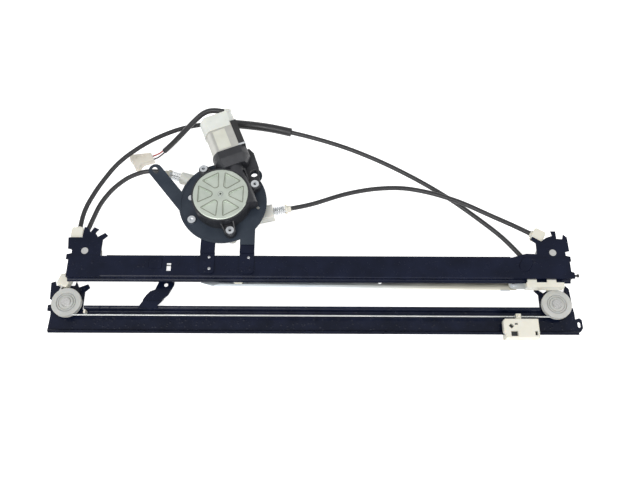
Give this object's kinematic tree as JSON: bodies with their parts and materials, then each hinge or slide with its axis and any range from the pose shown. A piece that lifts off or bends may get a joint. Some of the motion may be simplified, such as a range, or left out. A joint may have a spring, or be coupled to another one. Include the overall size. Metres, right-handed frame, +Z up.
{
  "type": "window regulator",
  "caption": "Dual-rail cable window regulator with pulleys, sliders, a lift bar and a worm-geared motor that turns the cable drum.",
  "frame": {"origin": "middle of the whole box in plan, on the floor under the lower rail", "axes": "+X along the rails from the motor's end to the sliders' end, +Y from the lower rail to the motor, +Z up from the floor the regulator lies on"},
  "size_m": [0.5546, 0.2507, 0.0596],
  "materials": {
    "ecoat": "glossy black electrocoat",
    "case": "satin black cast housing",
    "zinc": "zinc plated",
    "steel": "bright steel",
    "cable": "stranded steel, greased",
    "aluminium": "satin pressed",
    "natural": "natural acetal",
    "grey_plastic": "grey acetal",
    "black_plastic": "black moulded",
    "conduit": "black extruded cover",
    "sleeve": "black tubing",
    "red": "wire insulation",
    "copper": "wound and brushed",
    "magnet": "sintered"
  },
  "bodies": {
    "frame": {"lower_rail": "ecoat", "upper_rail": "ecoat", "lower_brace": "ecoat", "left_strap": "ecoat", "right_strap": "ecoat", "motor_plate": "ecoat", "gear_case": "case", "case_wing": "case", "gear_cover": "aluminium", "drum_housing": "natural", "motor_can": "zinc", "can_end_cap": "grey_plastic", "conduit_sleeve": "sleeve", "magnets": "magnet", "brush_holder": "black_plastic", "brushes": "copper", "shaft_bushes": "copper", "wire_duct": "black_plastic", "wheel_axle": "steel", "left_tension_spring": "zinc", "right_tension_spring": "zinc", "left_conduit_cap": "natural", "right_conduit_cap": "natural", "upper_cable": "cable", "lower_cable": "cable", "housing_screws": "zinc", "plate_rivet": "zinc", "cable_peg": "natural", "ear_plug": "black_plastic", "cross_conduit": "conduit", "left_conduit": "conduit", "right_conduit": "conduit", "harness_sleeve": "sleeve", "red_wire": "red", "black_wire": "sleeve", "harness_connector": "natural", "lower_left_conduit_seat": "natural", "lower_right_conduit_seat": "natural", "upper_left_conduit_seat": "natural", "upper_right_conduit_seat": "natural", "pulley_rivets": "steel"},
    "drum": {"cable_drum": "natural", "drum_cable": "cable", "output_hub": "steel", "drive_cushion": "sleeve", "worm_wheel": "natural"},
    "armature": {"armature_shaft": "steel", "armature_core": "copper", "commutator": "copper"},
    "lower_left_pulley": {"lower_left_pulley": "grey_plastic"},
    "lower_right_pulley": {"lower_right_pulley": "grey_plastic"},
    "upper_left_pulley": {"upper_left_pulley": "grey_plastic"},
    "upper_right_pulley": {"upper_right_pulley": "grey_plastic"},
    "lower_slider": {"lower_slider": "natural"},
    "upper_slider": {"upper_slider": "natural", "bar_tongue": "grey_plastic", "bar_pivot": "zinc"},
    "lift_bar": {"lift_bar": "zinc", "bar_clip": "zinc", "bar_plug": "natural"}
  },
  "joints": [
    {"name": "drum_spin", "type": "hinge", "parent": "frame", "child": "drum", "pos_m": [-0.097, 0.0153, 0.02], "axis": [0, 0, -1], "range_deg": [0, 1119.82]},
    {"name": "lower_slider_slide", "type": "slide", "parent": "frame", "child": "lower_slider", "axis": [-1, 0, 0], "range_m": [0, 0.43]},
    {"name": "upper_slider_slide", "type": "slide", "parent": "frame", "child": "upper_slider", "axis": [-1, 0, 0], "range_m": [0, 0.43]},
    {"name": "lower_left_pulley_spin", "type": "hinge", "parent": "frame", "child": "lower_left_pulley", "pos_m": [-0.2555, -0.0887, 0.008], "axis": [0, 0, -1], "continuous": true},
    {"name": "lower_right_pulley_spin", "type": "hinge", "parent": "frame", "child": "lower_right_pulley", "pos_m": [0.2505, -0.0887, 0.008], "axis": [0, 0, -1], "continuous": true},
    {"name": "upper_left_pulley_spin", "type": "hinge", "parent": "frame", "child": "upper_left_pulley", "pos_m": [-0.2375, -0.0387, 0.02], "axis": [0, 0, -1], "continuous": true},
    {"name": "upper_right_pulley_spin", "type": "hinge", "parent": "frame", "child": "upper_right_pulley", "pos_m": [0.247, -0.0387, 0.02], "axis": [0, 0, -1], "continuous": true},
    {"name": "armature_spin", "type": "hinge", "parent": "frame", "child": "armature", "pos_m": [-0.07425, 0.0244, 0.0445], "axis": [-0.3714, 0.9285, 0], "continuous": true},
    {"name": "lift_bar_swing", "type": "hinge", "parent": "upper_slider", "child": "lift_bar", "pos_m": [0.206, -0.0697, 0.016], "axis": [0, 0, 1], "range_deg": [0, 90]}
  ],
  "couplings": [
    {"joint": "lower_slider_slide", "follows": "drum_spin", "m_per_rad": 0.022},
    {"joint": "upper_slider_slide", "follows": "drum_spin", "m_per_rad": 0.022},
    {"joint": "lower_left_pulley_spin", "follows": "drum_spin", "ratio": 1.7054},
    {"joint": "lower_right_pulley_spin", "follows": "drum_spin", "ratio": 1.7054},
    {"joint": "upper_left_pulley_spin", "follows": "drum_spin", "ratio": 1.7054},
    {"joint": "upper_right_pulley_spin", "follows": "drum_spin", "ratio": 1.7054},
    {"joint": "armature_spin", "follows": "drum_spin", "ratio": 40}
  ]
}
